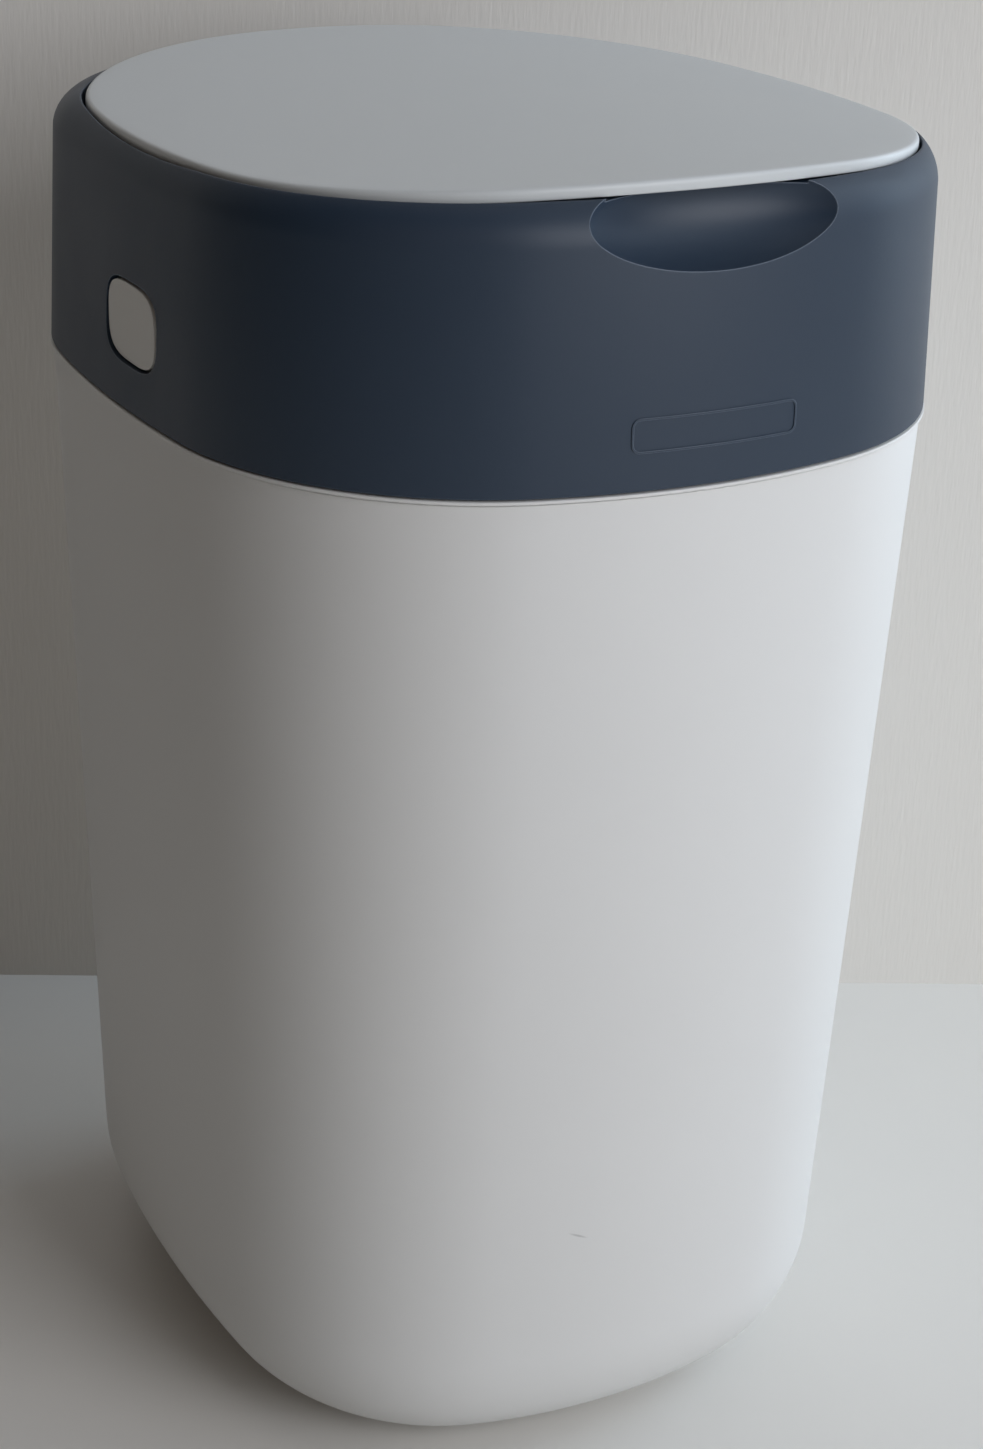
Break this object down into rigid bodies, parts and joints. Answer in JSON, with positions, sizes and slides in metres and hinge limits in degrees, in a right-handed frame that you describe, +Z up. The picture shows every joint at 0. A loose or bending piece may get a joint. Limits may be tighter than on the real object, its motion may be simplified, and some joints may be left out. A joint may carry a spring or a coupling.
{
  "type": "nappy bin",
  "caption": "Tall rounded nappy bin: tapered tub, deep dark collar with finger scoop and side release pads, flush hinged lid over a twist ring, film cassette and sprung clamp petals.",
  "frame": {"origin": "centre of the footprint on the floor under the bin", "axes": "+Z up, the finger scoop side faces -Y, +X to the right when seen from the front"},
  "size_m": [0.2486, 0.2836, 0.4265],
  "materials": {
    "white_shell": "fine matte, slightly warm white",
    "navy_shell": "fine matte slate navy",
    "lid_grey": "satin pale grey",
    "inner_grey": "satin mid grey",
    "dial_white": "satin white",
    "steel": "bright zinc plated",
    "film": "folded blue film",
    "seal": "soft dark foam rubber"
  },
  "bodies": {
    "base": {"tub": "white_shell", "collar": "navy_shell", "deck": "inner_grey", "deck_screws": "steel", "clamp_drum": "inner_grey", "drum_screws": "steel", "petal_pins": "steel", "petal_springs": "steel", "pawl_pin": "steel", "pawl_spring": "steel", "latch_pins": "steel", "latch_springs": "steel", "hinge_pins": "steel"},
    "lid": {"lid_top": "lid_grey", "lid_inner": "inner_grey", "lid_seal": "seal", "lid_screws": "steel"},
    "ring": {"twist_ring": "dial_white", "cassette_tray": "inner_grey", "tray_screws": "steel", "cassette_body": "dial_white", "cassette_cap": "inner_grey", "film_pack": "film"},
    "petal_r": {"petal_right": "dial_white"},
    "petal_b": {"petal_back": "dial_white"},
    "petal_l": {"petal_left": "dial_white"},
    "petal_f": {"petal_front": "dial_white"},
    "click_pawl": {"pawl": "dial_white"},
    "press_left": {"latch_left": "white_shell"},
    "press_right": {"latch_right": "white_shell"}
  },
  "joints": [
    {"name": "lid_hinge", "type": "hinge", "parent": "base", "child": "lid", "pos_m": [0, 0.1185, 0.4231], "axis": [-1, 0, 0], "range_deg": [0, 90]},
    {"name": "ring_turn", "type": "hinge", "parent": "base", "child": "ring", "pos_m": [0, 0, 0.404], "axis": [0, 0, 1], "continuous": true},
    {"name": "petal_right_hinge", "type": "hinge", "parent": "base", "child": "petal_r", "pos_m": [0.062, 0, 0.336], "axis": [0, -1, 0], "range_deg": [0, 60], "stiffness_Nm_per_rad": 0.05, "springref_deg": -22.92},
    {"name": "petal_back_hinge", "type": "hinge", "parent": "base", "child": "petal_b", "pos_m": [0, 0.062, 0.336], "axis": [1, 0, 0], "range_deg": [0, 60], "stiffness_Nm_per_rad": 0.05, "springref_deg": -22.92},
    {"name": "petal_left_hinge", "type": "hinge", "parent": "base", "child": "petal_l", "pos_m": [-0.062, 0, 0.336], "axis": [0, 1, 0], "range_deg": [0, 60], "stiffness_Nm_per_rad": 0.05, "springref_deg": -22.92},
    {"name": "petal_front_hinge", "type": "hinge", "parent": "base", "child": "petal_f", "pos_m": [0, -0.062, 0.336], "axis": [-1, 0, 0], "range_deg": [0, 60], "stiffness_Nm_per_rad": 0.05, "springref_deg": -22.92},
    {"name": "pawl_hinge", "type": "hinge", "parent": "base", "child": "click_pawl", "pos_m": [0.049, 0.08487, 0.399], "axis": [0, 0, -1], "range_deg": [0, 8], "stiffness_Nm_per_rad": 0.02, "springref_deg": -17.19},
    {"name": "latch_left_press", "type": "hinge", "parent": "base", "child": "press_left", "pos_m": [-0.1175, -0.0147, 0.35], "axis": [0, 1, 0], "range_deg": [0, 9], "stiffness_Nm_per_rad": 0.8, "springref_deg": -5.73},
    {"name": "latch_right_press", "type": "hinge", "parent": "base", "child": "press_right", "pos_m": [0.1175, -0.0147, 0.35], "axis": [0, -1, 0], "range_deg": [0, 9], "stiffness_Nm_per_rad": 0.8, "springref_deg": -5.73}
  ]
}
